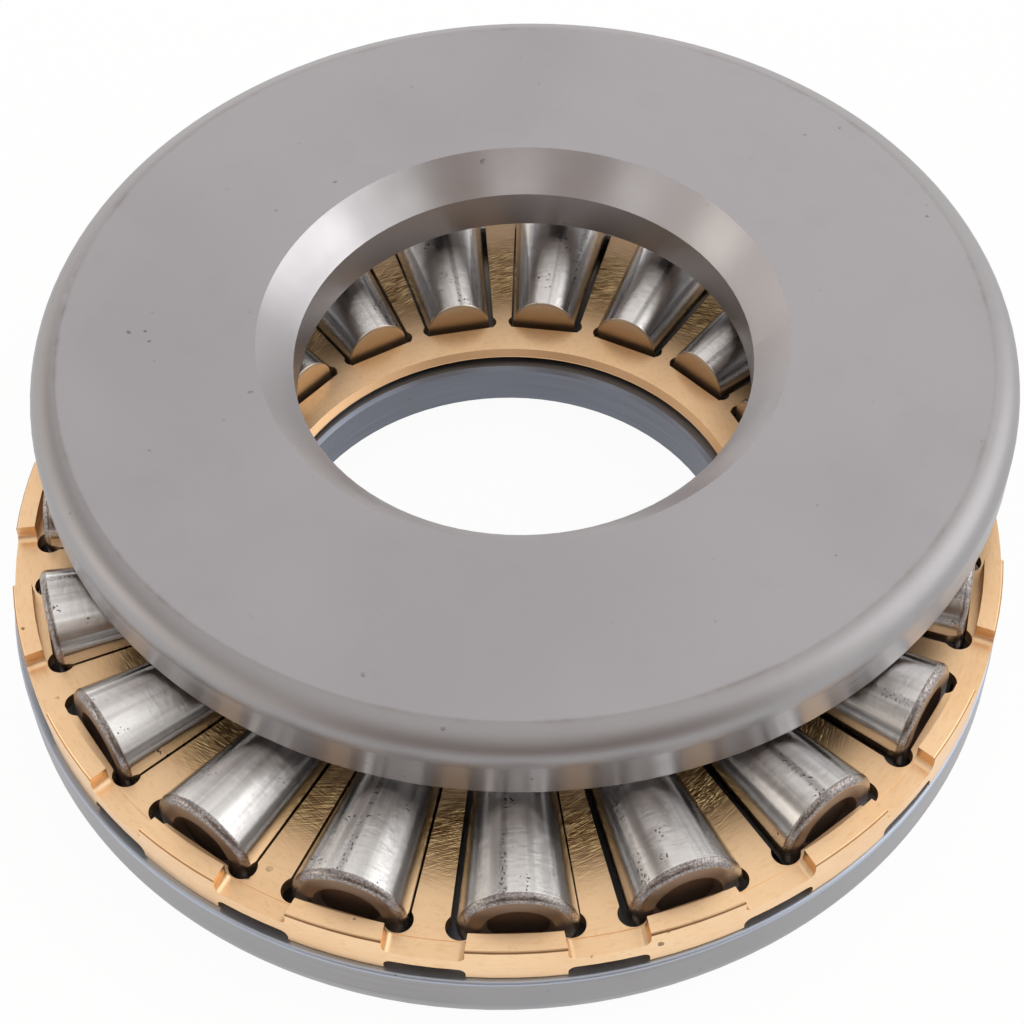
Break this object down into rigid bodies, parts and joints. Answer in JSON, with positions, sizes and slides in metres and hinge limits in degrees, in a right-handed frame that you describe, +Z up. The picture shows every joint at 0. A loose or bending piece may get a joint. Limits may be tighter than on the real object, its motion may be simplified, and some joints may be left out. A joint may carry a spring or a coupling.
{
  "type": "tapered roller thrust bearing",
  "caption": "Thrust bearing with two flat ring races, tapered steel rollers in a machined brass cage, and the upper race lying off its seat on the rollers.",
  "frame": {"origin": "middle of the lower race's bore wall, on the lower race's axis", "axes": "+Z up along the lower race's axis, +Y towards the side that the upper race is slid to"},
  "size_m": [0.166, 0.1851, 0.0405],
  "materials": {
    "race_steel": "satin grey steel, turned and ground",
    "cage_brass": "machined brass, matt, brushed across the bars",
    "roller_steel": "ground and polished steel"
  },
  "bodies": {
    "lower_race": {"lower_race": "race_steel"},
    "cage": {"cage": "cage_brass"},
    "upper_race": {"upper_race": "race_steel"},
    "roller_01": {"roller_01": "roller_steel"},
    "roller_02": {"roller_02": "roller_steel"},
    "roller_03": {"roller_03": "roller_steel"},
    "roller_04": {"roller_04": "roller_steel"},
    "roller_05": {"roller_05": "roller_steel"},
    "roller_06": {"roller_06": "roller_steel"},
    "roller_07": {"roller_07": "roller_steel"},
    "roller_08": {"roller_08": "roller_steel"},
    "roller_09": {"roller_09": "roller_steel"},
    "roller_10": {"roller_10": "roller_steel"},
    "roller_11": {"roller_11": "roller_steel"},
    "roller_12": {"roller_12": "roller_steel"},
    "roller_13": {"roller_13": "roller_steel"},
    "roller_14": {"roller_14": "roller_steel"},
    "roller_15": {"roller_15": "roller_steel"},
    "roller_16": {"roller_16": "roller_steel"},
    "roller_17": {"roller_17": "roller_steel"},
    "roller_18": {"roller_18": "roller_steel"},
    "roller_19": {"roller_19": "roller_steel"}
  },
  "joints": [
    {"name": "cage_spin", "type": "hinge", "parent": "lower_race", "child": "cage", "pos_m": [0.0005, 0, 0.00724], "axis": [0, 0, 1], "continuous": true},
    {"name": "upper_race_spin", "type": "hinge", "parent": "lower_race", "child": "upper_race", "pos_m": [0.004, 0.0229, 0.02923], "axis": [0, -0.025, 0.9997], "continuous": true},
    {"name": "roller_01_roll", "type": "hinge", "parent": "cage", "child": "roller_01", "pos_m": [0.00061, -0.0605, 0.00724], "axis": [0.0017, -1, 0], "continuous": true},
    {"name": "roller_02_roll", "type": "hinge", "parent": "cage", "child": "roller_02", "pos_m": [0.02024, -0.05719, 0.00724], "axis": [0.3263, -0.9452, 0], "continuous": true},
    {"name": "roller_03_roll", "type": "hinge", "parent": "cage", "child": "roller_03", "pos_m": [0.03774, -0.04768, 0.00724], "axis": [0.6156, -0.7881, 0], "continuous": true},
    {"name": "roller_04_roll", "type": "hinge", "parent": "cage", "child": "roller_04", "pos_m": [0.05121, -0.033, 0.00724], "axis": [0.8381, -0.5455, 0], "continuous": true},
    {"name": "roller_05_roll", "type": "hinge", "parent": "cage", "child": "roller_05", "pos_m": [0.05917, -0.01475, 0.00724], "axis": [0.9698, -0.2438, 0], "continuous": true},
    {"name": "roller_06_roll", "type": "hinge", "parent": "cage", "child": "roller_06", "pos_m": [0.06078, 0.0051, 0.00724], "axis": [0.9964, 0.0843, 0], "continuous": true},
    {"name": "roller_07_roll", "type": "hinge", "parent": "cage", "child": "roller_07", "pos_m": [0.05586, 0.0244, 0.00724], "axis": [0.9151, 0.4033, 0], "continuous": true},
    {"name": "roller_08_roll", "type": "hinge", "parent": "cage", "child": "roller_08", "pos_m": [0.04494, 0.04105, 0.00724], "axis": [0.7345, 0.6786, 0], "continuous": true},
    {"name": "roller_09_roll", "type": "hinge", "parent": "cage", "child": "roller_09", "pos_m": [0.0292, 0.05326, 0.00724], "axis": [0.4744, 0.8803, 0], "continuous": true},
    {"name": "roller_10_roll", "type": "hinge", "parent": "cage", "child": "roller_10", "pos_m": [0.01035, 0.05969, 0.00724], "axis": [0.1629, 0.9866, 0], "continuous": true},
    {"name": "roller_11_roll", "type": "hinge", "parent": "cage", "child": "roller_11", "pos_m": [-0.00956, 0.05966, 0.00724], "axis": [-0.1663, 0.9861, 0], "continuous": true},
    {"name": "roller_12_roll", "type": "hinge", "parent": "cage", "child": "roller_12", "pos_m": [-0.02839, 0.05316, 0.00724], "axis": [-0.4775, 0.8786, 0], "continuous": true},
    {"name": "roller_13_roll", "type": "hinge", "parent": "cage", "child": "roller_13", "pos_m": [-0.04408, 0.0409, 0.00724], "axis": [-0.7369, 0.676, 0], "continuous": true},
    {"name": "roller_14_roll", "type": "hinge", "parent": "cage", "child": "roller_14", "pos_m": [-0.05495, 0.02421, 0.00724], "axis": [-0.9165, 0.4001, 0], "continuous": true},
    {"name": "roller_15_roll", "type": "hinge", "parent": "cage", "child": "roller_15", "pos_m": [-0.0598, 0.00489, 0.00724], "axis": [-0.9967, 0.0808, 0], "continuous": true},
    {"name": "roller_16_roll", "type": "hinge", "parent": "cage", "child": "roller_16", "pos_m": [-0.05812, -0.01495, 0.00724], "axis": [-0.969, -0.2472, 0], "continuous": true},
    {"name": "roller_17_roll", "type": "hinge", "parent": "cage", "child": "roller_17", "pos_m": [-0.05009, -0.03318, 0.00724], "axis": [-0.8362, -0.5484, 0], "continuous": true},
    {"name": "roller_18_roll", "type": "hinge", "parent": "cage", "child": "roller_18", "pos_m": [-0.03658, -0.04781, 0.00724], "axis": [-0.6128, -0.7902, 0], "continuous": true},
    {"name": "roller_19_roll", "type": "hinge", "parent": "cage", "child": "roller_19", "pos_m": [-0.01904, -0.05726, 0.00724], "axis": [-0.323, -0.9464, 0], "continuous": true}
  ],
  "couplings": [
    {"joint": "roller_01_roll", "follows": "cage_spin", "ratio": -8.3333},
    {"joint": "roller_02_roll", "follows": "cage_spin", "ratio": -8.3333},
    {"joint": "roller_03_roll", "follows": "cage_spin", "ratio": -8.3333},
    {"joint": "roller_04_roll", "follows": "cage_spin", "ratio": -8.3333},
    {"joint": "roller_05_roll", "follows": "cage_spin", "ratio": -8.3333},
    {"joint": "roller_06_roll", "follows": "cage_spin", "ratio": -8.3333},
    {"joint": "roller_07_roll", "follows": "cage_spin", "ratio": -8.3333},
    {"joint": "roller_08_roll", "follows": "cage_spin", "ratio": -8.3333},
    {"joint": "roller_09_roll", "follows": "cage_spin", "ratio": -8.3333},
    {"joint": "roller_10_roll", "follows": "cage_spin", "ratio": -8.3333},
    {"joint": "roller_11_roll", "follows": "cage_spin", "ratio": -8.3333},
    {"joint": "roller_12_roll", "follows": "cage_spin", "ratio": -8.3333},
    {"joint": "roller_13_roll", "follows": "cage_spin", "ratio": -8.3333},
    {"joint": "roller_14_roll", "follows": "cage_spin", "ratio": -8.3333},
    {"joint": "roller_15_roll", "follows": "cage_spin", "ratio": -8.3333},
    {"joint": "roller_16_roll", "follows": "cage_spin", "ratio": -8.3333},
    {"joint": "roller_17_roll", "follows": "cage_spin", "ratio": -8.3333},
    {"joint": "roller_18_roll", "follows": "cage_spin", "ratio": -8.3333},
    {"joint": "roller_19_roll", "follows": "cage_spin", "ratio": -8.3333}
  ]
}
